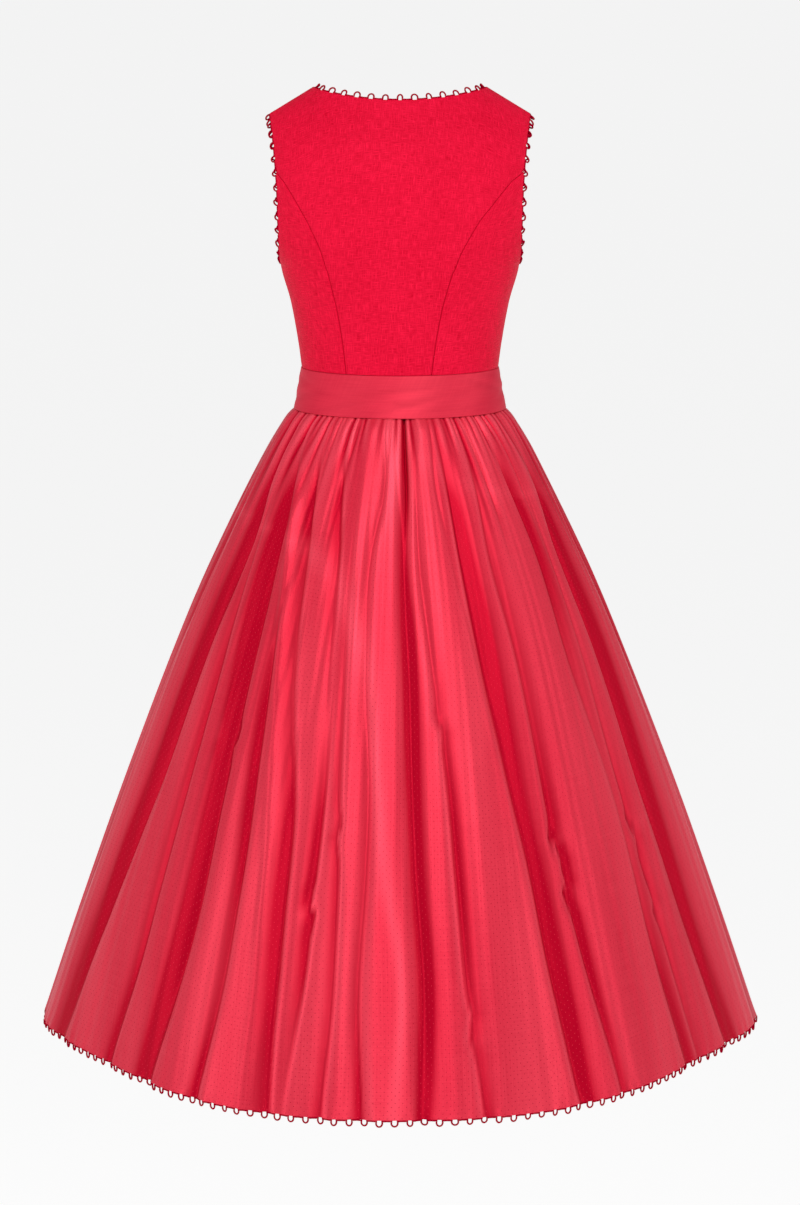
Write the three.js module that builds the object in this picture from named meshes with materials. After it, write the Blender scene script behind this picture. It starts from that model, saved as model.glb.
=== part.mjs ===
// Sleeveless dirndl, worn form with nobody in it: a bodice of seven panels with curved seams, a waistband,
// a full gathered skirt and a picot loop edging round the neck, the armholes and the hem.
// Millimetres, +Z up. The wearer's back faces -Y, the front +Y, the wearer's right hand +X.
// The origin lies midway between the shoulder straps, at the height of the straps' undersides.
import * as THREE from 'three';

// ---- Heights ----
const BAND_TOP = -332;
const BAND_HEIGHT = 52;
const BAND_BOTTOM = BAND_TOP - BAND_HEIGHT;
const UNDERARM = -203;
const SKIRT_LENGTH = 792;

// ---- Cloth ----
const GAP = 0.3;
const BODICE_WALL = 2.0;
const BAND_WALL = 1.8;
const SKIRT_WALL = 1.2;

// ---- Neck, shoulders and armholes ----
const NECK_HALF_WIDTH = 108;
const NECK_POINT_Z = 18;
const SHOULDER_HALF_WIDTH = 162.4;
const SHOULDER_TIP_Z = -15;
const NECK_Z_BACK = 6;
const NECK_CURVE_BACK = 2;
const NECK_Z_FRONT = -140;
const NECK_CURVE_FRONT = 2.2;
const ARMHOLE_DEPTH = { back: 50, front: 58 };
const ROLL_START_Z = -90;
const NECK_ROLL_RISE = 48;

// ---- Bodice sections: half width, and how deep the centre back and the centre front stand ----
const BODICE_SECTIONS = [
  { z: BAND_TOP, halfWidth: 123.8, back: 95, front: 97 },
  { z: -300, halfWidth: 128.0, back: 96, front: 103 },
  { z: -249, halfWidth: 137.2, back: 100, front: 112 },
  { z: UNDERARM, halfWidth: 149.5, back: 105, front: 114 },
  { z: -150, halfWidth: 151.4, back: 109, front: 107 },
  { z: -100, halfWidth: 152.8, back: 107, front: 96 },
  { z: -50, halfWidth: 157.0, back: 98, front: 82 },
  { z: SHOULDER_TIP_Z, halfWidth: SHOULDER_HALF_WIDTH, back: 88, front: 70 },
  { z: NECK_POINT_Z, halfWidth: 164, back: 80, front: 62 },
];
const BUST = { share: 0.5, z: -226, rise: 17, shareSpread: 0.26, zSpread: 52 };

// ---- Curved seams: how far round from the centre (0) to the side (1) they run, by row ----
// row -1 is the waist, 0 the underarm, 1 the shoulder. As worn, the back is turned a little at the waist,
// so its two seams don't lie alike there.
const SEAM_BACK = [
  { row: -1, left: 0.365, right: 0.205 },
  { row: -0.6, left: 0.377, right: 0.230 },
  { row: -0.28, left: 0.394, right: 0.258 },
  { row: 0, left: 0.411, right: 0.290 },
  { row: 0.2, left: 0.444, right: 0.330 },
  { row: 0.33, left: 0.524, right: 0.424 },
  { row: 0.43, left: 0.625, right: 0.553 },
  { row: 0.5, left: 0.720, right: 0.661 },
  { row: 0.55, left: 0.815, right: 0.770 },
  { row: 0.6, left: 1, right: 1 },
];
const SEAM_FRONT = [
  { row: -1, left: 0.36, right: 0.36 },
  { row: -0.6, left: 0.41, right: 0.41 },
  { row: -0.28, left: 0.46, right: 0.46 },
  { row: 0, left: 0.49, right: 0.49 },
  { row: 0.2, left: 0.53, right: 0.53 },
  { row: 0.33, left: 0.6, right: 0.6 },
  { row: 0.43, left: 0.72, right: 0.72 },
  { row: 0.5, left: 1, right: 1 },
];
// The gap at these seams is measured along a row, so where a seam slants the true gap is narrower.
const ROW_GAP = 0.44;
const QUARTER_ROUND = 200;
const SEAM_SHARE = ROW_GAP / 2 / QUARTER_ROUND;
const SEAM_TIP = 0.004;
const CENTRE_ROWS = [-1, -0.75, -0.5, -0.25, 0, 0.1, 0.2, 0.33, 0.43, 0.5, 0.55, 0.6, 0.7, 0.8, 0.9, 1];
const NECK_SHARE = Math.asin(NECK_HALF_WIDTH / SHOULDER_HALF_WIDTH) / (Math.PI / 2);
const HALF_COLUMNS = [0, 0.15, 0.28, 0.37, 0.41, NECK_SHARE, 0.56, 0.7, 0.85, 1];
const SIDE_COLUMNS = [0, 1 / 3, 2 / 3, 1];

// ---- Waistband ----
const BAND_COLUMNS = 56;
const BAND_PROUD = 0.8;
const BAND_SECTIONS = [
  { z: BAND_BOTTOM, halfWidth: 133.2, back: 105, front: 105 },
  { z: -367, halfWidth: 129.9, back: 101, front: 101.5 },
  { z: -350, halfWidth: 127.2, back: 97.5, front: 99 },
  { z: BAND_TOP - GAP, halfWidth: 123.8, back: 95, front: 97 },
];

// ---- Skirt sections: drop below the band, half width, plan depth over width, flattening beside the sides ----
const SKIRT_SECTIONS = [
  { drop: GAP, halfWidth: 133.2, round: 0.79, flat: 0, gather: 2.6, fold: 0 },
  { drop: 14, halfWidth: 144, round: 0.81, flat: 0, gather: 4.6, fold: 0.1 },
  { drop: 52, halfWidth: 166.5, round: 0.85, flat: 0, gather: 4.2, fold: 0.4 },
  { drop: 120, halfWidth: 200.5, round: 0.9, flat: 0.012, gather: 1.4, fold: 0.75 },
  { drop: 250, halfWidth: 261, round: 0.93, flat: 0.028, gather: 0, fold: 1 },
  { drop: 450, halfWidth: 339, round: 0.95, flat: 0.048, gather: 0, fold: 1 },
  { drop: 640, halfWidth: 407.5, round: 0.97, flat: 0.066, gather: 0, fold: 0.85 },
  { drop: SKIRT_LENGTH, halfWidth: 458.5, round: 0.985, flat: 0.078, gather: 0, fold: 0.6 },
];
const FLAT_LEAN = 1.6;
const GATHERS_PER_HALF = 45;

// ---- Largest folds: where each valley lies, in degrees from the centre back towards +X, at four drops,
// how deep it is, and how high the ridge after it stands ----
const FOLD_DROPS = [60, 250, 500, SKIRT_LENGTH];
const FOLDS_BACK = [
  { at: [-88, -88, -89, -90], dip: 5, rise: 4 },
  { at: [-81, -77, -79, -82], dip: 5, rise: 7 },
  { at: [-59, -60, -67, -73], dip: 9, rise: 9 },
  { at: [-48, -40, -40, -41], dip: 12, rise: 8 },
  { at: [-37, -27, -23, -21], dip: 11, rise: 7 },
  { at: [-23, -17, -14, -14], dip: 7, rise: 6 },
  { at: [-9, -8, -6, -6], dip: 6, rise: 5 },
  { at: [1, 2, 4, 4], dip: 10, rise: 8 },
  { at: [12, 16, 20, 24], dip: 7, rise: 5 },
  { at: [23, 26, 29, 33], dip: 10, rise: 8 },
  { at: [35, 37, 39, 42], dip: 6, rise: 8 },
  { at: [47, 48, 50, 52], dip: 12, rise: 8 },
  { at: [57, 60, 63, 66], dip: 7, rise: 6 },
  { at: [69, 71, 74, 77], dip: 9, rise: 5 },
  { at: [83, 84, 86, 88], dip: 5, rise: 4 },
];
const FOLDS_FRONT = [
  { at: [92, 93, 94, 94], dip: 6, rise: 7 },
  { at: [104, 106, 107, 108], dip: 10, rise: 7 },
  { at: [116, 120, 122, 121], dip: 8, rise: 8 },
  { at: [129, 131, 134, 137], dip: 11, rise: 7 },
  { at: [141, 145, 147, 148], dip: 6, rise: 6 },
  { at: [153, 155, 159, 161], dip: 10, rise: 8 },
  { at: [166, 169, 171, 173], dip: 8, rise: 6 },
  { at: [178, 181, 184, 184], dip: 7, rise: 7 },
  { at: [190, 193, 195, 197], dip: 11, rise: 8 },
  { at: [203, 205, 207, 206], dip: 7, rise: 6 },
  { at: [214, 216, 220, 222], dip: 10, rise: 8 },
  { at: [228, 231, 233, 232], dip: 7, rise: 7 },
  { at: [240, 242, 245, 247], dip: 11, rise: 6 },
  { at: [253, 256, 258, 259], dip: 7, rise: 6 },
  { at: [265, 267, 266, 265], dip: 6, rise: 5 },
];

// ---- Picot edging: one cord that runs along the edge and swings out in loops ----
const CORD_RADIUS = 0.8;
const LOOP_PITCH = 18.4;
const LOOP_SHAPE = [
  { along: -1.5, out: 0 },
  { along: -3.3, out: 3.2 },
  { along: 0, out: 6.2 },
  { along: 3.3, out: 3.2 },
  { along: 1.5, out: 0 },
];
const CORD_SIDES = 3;

// ---- Finishes ----
const BODICE_RED = 0xe4143a;
const TAFFETA_RED = 0xe03850;
const EDGING_RED = 0x7d0f24;

// ---- Tables and vectors ----

// Smooth curve through one column of a table, with the slope at a row taken from its neighbours.
function along(table, key, column, at) {
  const last = table.length - 1;
  if (at <= table[0][key]) return table[0][column];
  if (at >= table[last][key]) return table[last][column];
  const i = table.findIndex((row, k) => k < last && at <= table[k + 1][key]);
  const slope = (a, b) => (table[b][column] - table[a][column]) / (table[b][key] - table[a][key]);
  const span = table[i + 1][key] - table[i][key];
  const t = (at - table[i][key]) / span;
  const before = slope(Math.max(i - 1, 0), i + 1) * span;
  const after = slope(i, Math.min(i + 2, last)) * span;
  const [from, to] = [table[i][column], table[i + 1][column]];
  return from * (1 + 2 * t) * (1 - t) ** 2 + before * t * (1 - t) ** 2
    + to * t * t * (3 - 2 * t) + after * t * t * (t - 1);
}

function straightAlong(table, key, column, at) {
  const last = table.length - 1;
  if (at <= table[0][key]) return table[0][column];
  if (at >= table[last][key]) return table[last][column];
  const i = table.findIndex((row, k) => k < last && at <= table[k + 1][key]);
  const t = (at - table[i][key]) / (table[i + 1][key] - table[i][key]);
  return table[i][column] * (1 - t) + table[i + 1][column] * t;
}

const vec = (x, y, z) => new THREE.Vector3(x, y, z);
const clamp = (value, low, high) => Math.min(Math.max(value, low), high);

// ---- Bodice surface: share runs from the centre line (0) to the side (1, or -1 on the -X side) ----

// Height of the top edge: the neckline inside the neck point, the shoulder line outside it.
function topEdgeZ(face, x) {
  const out = Math.abs(x);
  if (out > NECK_HALF_WIDTH) {
    const along01 = (out - NECK_HALF_WIDTH) / (SHOULDER_HALF_WIDTH - NECK_HALF_WIDTH);
    return NECK_POINT_Z + (SHOULDER_TIP_Z - NECK_POINT_Z) * along01;
  }
  const low = face === 'back' ? NECK_Z_BACK : NECK_Z_FRONT;
  const curve = face === 'back' ? NECK_CURVE_BACK : NECK_CURVE_FRONT;
  return low + (NECK_POINT_Z - low) * (out / NECK_HALF_WIDTH) ** curve;
}

// The bust stands out as one soft round rise on each side of the centre front.
function bustRise(face, share, z) {
  if (face === 'back') return 0;
  const round = ((Math.abs(share) - BUST.share) / BUST.shareSpread) ** 2;
  const high = ((z - BUST.z) / BUST.zSpread) ** 2;
  return BUST.rise * Math.exp(-round - high);
}

// From ROLL_START_Z up the cloth rolls over towards the shoulder line, and at the neck towards a higher line.
function rollOver(x, z) {
  const out = Math.abs(x) / NECK_HALF_WIDTH;
  const top = out > 1 ? topEdgeZ('back', x) : NECK_POINT_Z + NECK_ROLL_RISE * (1 - out ** 2);
  const rise = clamp((z - ROLL_START_Z) / (top - ROLL_START_Z), 0, 1);
  return Math.sqrt(1 - rise * rise);
}

// A ring of the bodice is an ellipse below the underarm. Above it the ring stops at the armhole's edge.
function bodicePoint(face, share, row) {
  const sign = face === 'back' ? -1 : 1;
  if (row <= 0) {
    const z = UNDERARM + (UNDERARM - BAND_TOP) * row;
    const angle = share * Math.PI / 2;
    const depth = along(BODICE_SECTIONS, 'z', face, z) + bustRise(face, share, z);
    const halfWidth = along(BODICE_SECTIONS, 'z', 'halfWidth', z);
    return vec(halfWidth * Math.sin(angle), sign * Math.max(depth * Math.cos(angle), GAP / 2), z);
  }
  const w = (1 - Math.cos(Math.PI * row)) / 2;
  const topX = SHOULDER_HALF_WIDTH * Math.sin(share * Math.PI / 2);
  const z = UNDERARM + (topEdgeZ(face, topX) - UNDERARM) * w;
  const edgeZ = UNDERARM + (SHOULDER_TIP_Z - UNDERARM) * w;
  const depth = along(BODICE_SECTIONS, 'z', face, z) + bustRise(face, share, z);
  const edgeDepth = ARMHOLE_DEPTH[face] * Math.sin(Math.PI * row) / depth;
  const reach = topX / SHOULDER_HALF_WIDTH;
  const x = along(BODICE_SECTIONS, 'z', 'halfWidth', edgeZ) * reach;
  const y = depth * Math.sqrt(1 - reach * reach * (1 - edgeDepth * edgeDepth));
  return vec(x, sign * Math.max(y * rollOver(x, z), GAP / 2), z);
}

// Normal by differences, taken a little inside the rows where two edges of the surface meet.
function bodiceNormal(face, share, row) {
  const step = 0.02;
  const s = clamp(share, -0.96, 0.96);
  const r = row > 0 ? clamp(row, 0.05, 0.96) : clamp(row, -0.96, -0.04);
  const round = bodicePoint(face, s + step, r).sub(bodicePoint(face, s - step, r));
  const up = bodicePoint(face, s, r + step).sub(bodicePoint(face, s, r - step));
  const normal = face === 'back' ? round.cross(up) : up.cross(round);
  const isSideSeam = row <= 0 && Math.abs(share) > 0.99;
  const isShoulderSeam = row === 1 && Math.abs(share) >= NECK_SHARE;
  if (isSideSeam || isShoulderSeam) normal.y = 0;
  return normal.normalize();
}

// ---- Closed cloth walls ----

function geometryFrom(points, faces) {
  const geometry = new THREE.BufferGeometry();
  geometry.setAttribute('position', new THREE.Float32BufferAttribute(points.flatMap((p) => p.toArray()), 3));
  geometry.setIndex(faces.flat());
  geometry.computeVertexNormals();
  return geometry;
}

// A wall from two grids of points, outer and inner, of the same rows and columns.
// Columns run anticlockwise seen from above and rows run upwards, so outer faces point out.
function wallFrom(outer, inner) {
  const rows = outer.length;
  const columns = outer[0].length;
  const points = [...outer.flat(), ...inner.flat()];
  const faces = [];
  const quad = (a, b, c, d) => faces.push([a, b, c], [a, c, d]);
  const out = (r, c) => r * columns + c;
  const into = (r, c) => rows * columns + r * columns + c;
  for (let r = 0; r < rows - 1; r += 1) {
    for (let c = 0; c < columns - 1; c += 1) {
      quad(out(r, c), out(r, c + 1), out(r + 1, c + 1), out(r + 1, c));
      quad(into(r, c), into(r + 1, c), into(r + 1, c + 1), into(r, c + 1));
    }
    quad(out(r, 0), out(r + 1, 0), into(r + 1, 0), into(r, 0));
    quad(out(r, columns - 1), into(r, columns - 1), into(r + 1, columns - 1), out(r + 1, columns - 1));
  }
  for (let c = 0; c < columns - 1; c += 1) {
    quad(out(0, c), into(0, c), into(0, c + 1), out(0, c + 1));
    quad(out(rows - 1, c), out(rows - 1, c + 1), into(rows - 1, c + 1), into(rows - 1, c));
  }
  return geometryFrom(points, faces);
}

// ---- Bodice panels ----

function panelGeometry(face, rows, columns, from, to) {
  const outer = rows.map((row) => columns.map((c) => bodicePoint(face, from(row) * (1 - c) + to(row) * c, row)));
  const inner = rows.map((row, r) => columns.map((c, k) => {
    const normal = bodiceNormal(face, from(row) * (1 - c) + to(row) * c, row);
    return outer[r][k].clone().addScaledVector(normal, -BODICE_WALL);
  }));
  const order = (grid) => (face === 'back' ? grid : grid.map((line) => [...line].reverse()));
  return wallFrom(order(outer), order(inner));
}

const seamShare = (table, side, row) => straightAlong(table, 'row', side < 0 ? 'left' : 'right', row);

// Above its curved seam a centre panel reaches the armhole and the shoulder.
function panelEdge(table, side, row) {
  const share = seamShare(table, side, row);
  return side * (share < 1 ? share - SEAM_SHARE : 1);
}

function centreBackGeometry() {
  const columns = [...HALF_COLUMNS.slice(1).reverse().map((c) => -c), ...HALF_COLUMNS];
  const edge = (side) => (row) => panelEdge(SEAM_BACK, side, row);
  const spread = columns.map((c) => (c + 1) / 2);
  return panelGeometry('back', CENTRE_ROWS, spread, edge(-1), edge(1));
}

function centreFrontGeometry(side) {
  const near = () => side * GAP / 2 / QUARTER_ROUND;
  const far = (row) => panelEdge(SEAM_FRONT, side, row);
  const columns = side > 0 ? HALF_COLUMNS : HALF_COLUMNS.map((c) => 1 - c).reverse();
  return panelGeometry('front', CENTRE_ROWS, columns, side > 0 ? near : far, side > 0 ? far : near);
}

// A side panel ends in a narrow point where its curved seam runs into the armhole.
function sidePanelGeometry(face, side, table) {
  const tip = table[table.length - 1].row;
  const rows = [...CENTRE_ROWS.filter((row) => row < tip), tip - SEAM_TIP];
  const near = (row) => side * (seamShare(table, side, row) + SEAM_SHARE);
  const far = () => side;
  return panelGeometry(face, rows, SIDE_COLUMNS, side > 0 ? near : far, side > 0 ? far : near);
}

// ---- Waistband ----

function bandPoint(angle, z, inset) {
  const face = Math.cos(angle) > 0 ? 'back' : 'front';
  const halfWidth = along(BAND_SECTIONS, 'z', 'halfWidth', z) + BAND_PROUD - inset;
  const depth = along(BAND_SECTIONS, 'z', face, z) + BAND_PROUD - inset;
  return vec(halfWidth * Math.sin(angle), -depth * Math.cos(angle), z);
}

// One strip round the waist, whose two ends meet at the centre front.
function waistbandGeometry() {
  const half = Math.PI - GAP / 2 / BAND_SECTIONS[0].front;
  const angles = Array.from({ length: BAND_COLUMNS + 1 }, (_, i) => half * (2 * i / BAND_COLUMNS - 1));
  const grid = (inset) => BAND_SECTIONS.map(({ z }) => angles.map((angle) => bandPoint(angle, z, inset)));
  return wallFrom(grid(0), grid(BAND_WALL));
}

// ---- Skirt ----

// Folds at an angle and a drop: each valley dips, and a round ridge stands between it and the next.
function foldHeight(folds, degrees, drop) {
  const place = (fold) => {
    const rows = FOLD_DROPS.map((d, i) => ({ drop: d, at: fold.at[i] }));
    return along(rows, 'drop', 'at', drop);
  };
  const i = folds.findIndex((fold, k) => k < folds.length - 1 && degrees < place(folds[k + 1]));
  const near = folds[i < 0 ? folds.length - 2 : i];
  const next = folds[i < 0 ? folds.length - 1 : i + 1];
  const t = clamp((degrees - place(near)) / (place(next) - place(near)), 0, 1);
  const dip = near.dip * (1 - t) + next.dip * t;
  return near.rise * Math.sin(Math.PI * t) ** 2 - dip * Math.cos(Math.PI * t) ** 2;
}

// An ellipse, pressed in between the centres and the sides, most where FLAT_LEAN puts it: nearer the sides.
function skirtRadius(radians, drop) {
  const halfWidth = along(SKIRT_SECTIONS, 'drop', 'halfWidth', drop);
  const halfDepth = halfWidth * along(SKIRT_SECTIONS, 'drop', 'round', drop);
  const flat = along(SKIRT_SECTIONS, 'drop', 'flat', drop);
  const ellipse = 1 / Math.hypot(Math.sin(radians) / halfWidth, Math.cos(radians) / halfDepth);
  const fromCentre = Math.asin(Math.abs(Math.sin(radians))) / (Math.PI / 2);
  return ellipse * (1 - flat * Math.sin(Math.PI * fromCentre ** FLAT_LEAN) ** 2);
}

// Every second column is a gather's crest, so a half has two columns for each gather.
function skirtLine(folds, fromDegrees, section) {
  const columns = 2 * GATHERS_PER_HALF;
  const trim = THREE.MathUtils.radToDeg(GAP / 2 / section.halfWidth);
  return Array.from({ length: columns + 1 }, (_, i) => {
    const degrees = fromDegrees + clamp(180 * i / columns, trim, 180 - trim);
    const radians = THREE.MathUtils.degToRad(degrees);
    const isEnd = i === 0 || i === columns;
    const gather = isEnd ? 0 : section.gather * (i % 2 ? 1 : -1);
    const fold = section.fold * foldHeight(folds, degrees, section.drop);
    const radius = skirtRadius(radians, section.drop) + gather + (isEnd ? 0 : fold);
    return vec(radius * Math.sin(radians), -radius * Math.cos(radians), BAND_BOTTOM - section.drop);
  });
}

// The inner point lies straight in, further where the cloth stands steeply, so the wall keeps its thickness.
function insetLine(line) {
  return line.map((point, i) => {
    const inward = vec(-point.x, -point.y, 0).normalize();
    const beside = [line[Math.max(i - 1, 0)], line[Math.min(i + 1, line.length - 1)]];
    const slant = Math.max(...beside.map((other) => {
      const chord = other.clone().sub(point);
      const across = Math.abs(chord.dot(inward));
      return chord.length() ? across / chord.length() : 0;
    }));
    const thickness = SKIRT_WALL / Math.sqrt(1 - Math.min(slant, 0.93) ** 2);
    const isSeam = i === 0 || i === line.length - 1;
    const step = isSeam ? vec(Math.sign(inward.x), 0, 0) : inward;
    return point.clone().addScaledVector(step, isSeam ? SKIRT_WALL : thickness);
  });
}

function skirtGeometry(folds, fromDegrees) {
  const outer = [...SKIRT_SECTIONS].reverse().map((section) => skirtLine(folds, fromDegrees, section));
  return wallFrom(outer, outer.map(insetLine));
}

// ---- Picot edging ----

// Stations along an edge: the edge's point, the way off the cloth and the way out of the cloth's face.
function stationsOf(points, normals, centre, closed) {
  const count = points.length;
  return points.map((point, i) => {
    const before = points[closed ? (i + count - 1) % count : Math.max(i - 1, 0)];
    const after = points[closed ? (i + 1) % count : Math.min(i + 1, count - 1)];
    const tangent = after.clone().sub(before).normalize();
    const off = tangent.cross(normals[i]).normalize();
    if (off.dot(centre.clone().sub(point)) < 0) off.negate();
    return { point, off, normal: normals[i] };
  });
}

// Place on the edge at a length from its start, straight between two stations.
function placeAt(stations, lengths, total, length) {
  const at = ((length % total) + total) % total;
  const i = Math.max(lengths.findIndex((value) => value > at) - 1, 0);
  const a = stations[i];
  const b = stations[(i + 1) % stations.length];
  const t = (at - lengths[i]) / (lengths[i + 1] - lengths[i]);
  const mix = (key) => a[key].clone().lerp(b[key], t);
  return { point: mix('point'), off: mix('off').normalize(), normal: mix('normal').normalize() };
}

function cordRoute(stations, closed) {
  const ring = closed ? [...stations, stations[0]] : stations;
  const lengths = [0];
  ring.slice(1).forEach((s, i) => lengths.push(lengths[i] + s.point.distanceTo(ring[i].point)));
  const total = lengths[lengths.length - 1];
  const loops = Math.round(total / LOOP_PITCH);
  const pitch = total / loops;
  const route = [];
  const add = (length, out) => {
    const place = placeAt(stations, lengths, total, length);
    place.point.addScaledVector(place.off, GAP + CORD_RADIUS * 1.35 + out);
    route.push(place);
  };
  if (!closed) add(0, 0);
  for (let k = 0; k < loops; k += 1) {
    LOOP_SHAPE.forEach(({ along: step, out }) => add((k + 0.5) * pitch + step, out));
  }
  if (!closed) add(total - 0.001, 0);
  return route;
}

// A tube of few sides along the route, mitred where the route turns.
function cordGeometry(stations, closed) {
  const route = cordRoute(stations, closed);
  const count = route.length;
  const points = [];
  route.forEach((place, i) => {
    const before = route[closed ? (i + count - 1) % count : Math.max(i - 1, 0)].point;
    const after = route[closed ? (i + 1) % count : Math.min(i + 1, count - 1)].point;
    const arriving = place.point.clone().sub(before).normalize();
    const leaving = after.clone().sub(place.point).normalize();
    const tangent = arriving.clone().add(leaving).normalize();
    const across = place.normal.clone().cross(tangent).normalize();
    const over = tangent.clone().cross(across).normalize();
    const mitre = 1 / Math.max(tangent.dot(leaving.lengthSq() ? leaving : arriving), 0.55);
    for (let k = 0; k < CORD_SIDES; k += 1) {
      const angle = Math.PI / 2 + 2 * Math.PI * k / CORD_SIDES;
      points.push(place.point.clone()
        .addScaledVector(across, CORD_RADIUS * mitre * Math.cos(angle))
        .addScaledVector(over, CORD_RADIUS * Math.sin(angle)));
    }
  });
  const faces = [];
  const spans = closed ? count : count - 1;
  for (let i = 0; i < spans; i += 1) {
    for (let k = 0; k < CORD_SIDES; k += 1) {
      const next = (k + 1) % CORD_SIDES;
      const a = i * CORD_SIDES;
      const b = ((i + 1) % count) * CORD_SIDES;
      faces.push([a + k, a + next, b + next], [a + k, b + next, b + k]);
    }
  }
  if (!closed) {
    const end = (count - 1) * CORD_SIDES;
    faces.push([2, 1, 0], [end, end + 1, end + 2]);
  }
  return geometryFrom(points, faces);
}

// The cord lies off the middle of the cloth's thickness.
function midWall(face, share, row) {
  return bodicePoint(face, share, row).addScaledVector(bodiceNormal(face, share, row), -BODICE_WALL / 2);
}

function armholeEdging(side) {
  const rows = CENTRE_ROWS.filter((row) => row >= 0);
  const back = rows.map((row) => ['back', side, row]);
  const front = rows.slice(0, -1).reverse().map((row) => ['front', side, row]);
  const edge = [...back, ...front].slice(0, -1);
  const centre = vec(side * SHOULDER_HALF_WIDTH, 0, (UNDERARM + SHOULDER_TIP_Z) / 2);
  const normals = edge.map((place) => bodiceNormal(...place));
  return cordGeometry(stationsOf(edge.map((place) => midWall(...place)), normals, centre, true), true);
}

function neckEdging() {
  const inNeck = HALF_COLUMNS.filter((c) => c <= NECK_SHARE);
  const shares = [...inNeck.slice(1).reverse().map((c) => -c), ...inNeck];
  const first = inNeck.slice(0, -1).map((c) => ['front', -Math.max(c, SEAM_SHARE), 1]);
  const last = inNeck.slice(0, -1).reverse().map((c) => ['front', Math.max(c, SEAM_SHARE), 1]);
  const edge = [...first, ...shares.map((c) => ['back', c, 1]), ...last];
  const normals = edge.map((place) => bodiceNormal(...place));
  const centre = vec(0, NECK_HALF_WIDTH / 5, 3 * NECK_POINT_Z);
  return cordGeometry(stationsOf(edge.map((place) => midWall(...place)), normals, centre, false), false);
}

function hemEdging() {
  const hem = SKIRT_SECTIONS[SKIRT_SECTIONS.length - 1];
  const lines = [skirtLine(FOLDS_BACK, -90, hem), skirtLine(FOLDS_FRONT, 90, hem)];
  const edge = lines.flatMap((line) => {
    const inner = insetLine(line);
    return line.slice(0, -1).map((point, i) => point.clone().lerp(inner[i], 0.5));
  });
  const count = edge.length;
  const normals = edge.map((point, i) => {
    const chord = edge[(i + 1) % count].clone().sub(edge[(i + count - 1) % count]);
    return chord.cross(vec(0, 0, 1)).normalize();
  });
  const centre = vec(0, 0, 10 * (BAND_BOTTOM - SKIRT_LENGTH));
  return cordGeometry(stationsOf(edge, normals, centre, true), true);
}

// ---- The garment ----

const finish = (color, roughness) => new THREE.MeshStandardMaterial({ color, roughness, metalness: 0 });
const group = new THREE.Group();

function addPiece(name, geometry, color, roughness) {
  const mesh = new THREE.Mesh(geometry, finish(color, roughness));
  mesh.name = name;
  group.add(mesh);
}

function addBodice() {
  addPiece('bodice_back_centre', centreBackGeometry(), BODICE_RED, 0.85);
  [['left', -1], ['right', 1]].forEach(([name, side]) => {
    addPiece(`bodice_back_side_${name}`, sidePanelGeometry('back', side, SEAM_BACK), BODICE_RED, 0.85);
    addPiece(`bodice_front_side_${name}`, sidePanelGeometry('front', side, SEAM_FRONT), BODICE_RED, 0.85);
    addPiece(`bodice_front_centre_${name}`, centreFrontGeometry(side), BODICE_RED, 0.85);
  });
}

function addSkirt() {
  addPiece('waistband', waistbandGeometry(), TAFFETA_RED, 0.45);
  addPiece('skirt_back', skirtGeometry(FOLDS_BACK, -90), TAFFETA_RED, 0.45);
  addPiece('skirt_front', skirtGeometry(FOLDS_FRONT, 90), TAFFETA_RED, 0.45);
}

function addEdging() {
  addPiece('edging_neck', neckEdging(), EDGING_RED, 0.7);
  addPiece('edging_armhole_left', armholeEdging(-1), EDGING_RED, 0.7);
  addPiece('edging_armhole_right', armholeEdging(1), EDGING_RED, 0.7);
  addPiece('edging_hem', hemEdging(), EDGING_RED, 0.7);
}

addBodice();
addSkirt();
addEdging();

export default group;
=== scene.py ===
"""Looks of a red sleeveless dirndl: fine cloth surfaces, picot loops, finishes, studio light and camera.

Shapes are worked out in millimetres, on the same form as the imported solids, and put into meshes in metres.
The wearer's back faces -Y, the front +Y, and the origin lies between the shoulder straps.
"""
import logging
from dataclasses import dataclass
from enum import Enum
from typing import Any, Sequence

import bpy
import numpy as np
from bpy.types import Material, Object
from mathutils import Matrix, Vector


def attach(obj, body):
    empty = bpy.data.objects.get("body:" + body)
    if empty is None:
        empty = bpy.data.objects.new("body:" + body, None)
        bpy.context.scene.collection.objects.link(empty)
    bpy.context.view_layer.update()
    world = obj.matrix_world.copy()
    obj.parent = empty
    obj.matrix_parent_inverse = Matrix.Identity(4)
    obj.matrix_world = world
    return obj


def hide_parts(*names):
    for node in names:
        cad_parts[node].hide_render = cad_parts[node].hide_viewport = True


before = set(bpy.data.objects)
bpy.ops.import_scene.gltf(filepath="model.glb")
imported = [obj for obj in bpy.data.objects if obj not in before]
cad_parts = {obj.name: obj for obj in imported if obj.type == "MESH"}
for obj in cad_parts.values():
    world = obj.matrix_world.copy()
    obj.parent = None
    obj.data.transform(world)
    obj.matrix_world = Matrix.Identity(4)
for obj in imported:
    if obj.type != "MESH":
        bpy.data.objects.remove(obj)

LOG = logging.getLogger("dirndl")
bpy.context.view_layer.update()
MM = 0.001
BODY = "root"
Array = np.ndarray
Socket = bpy.types.NodeSocket
Pair = tuple[float, float]
Table = tuple[float, ...]
Colour = tuple[float, float, float, float]


class Face(Enum):
    """Side of the wearer that a panel covers, with the sign of Y there."""

    BACK = -1
    FRONT = 1


class Slot(Enum):
    """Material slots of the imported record."""

    BODICE = "bodice_cloth"
    TAFFETA = "skirt_taffeta"
    EDGING = "picot_edging"


# ---- Curves and grids ----


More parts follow.
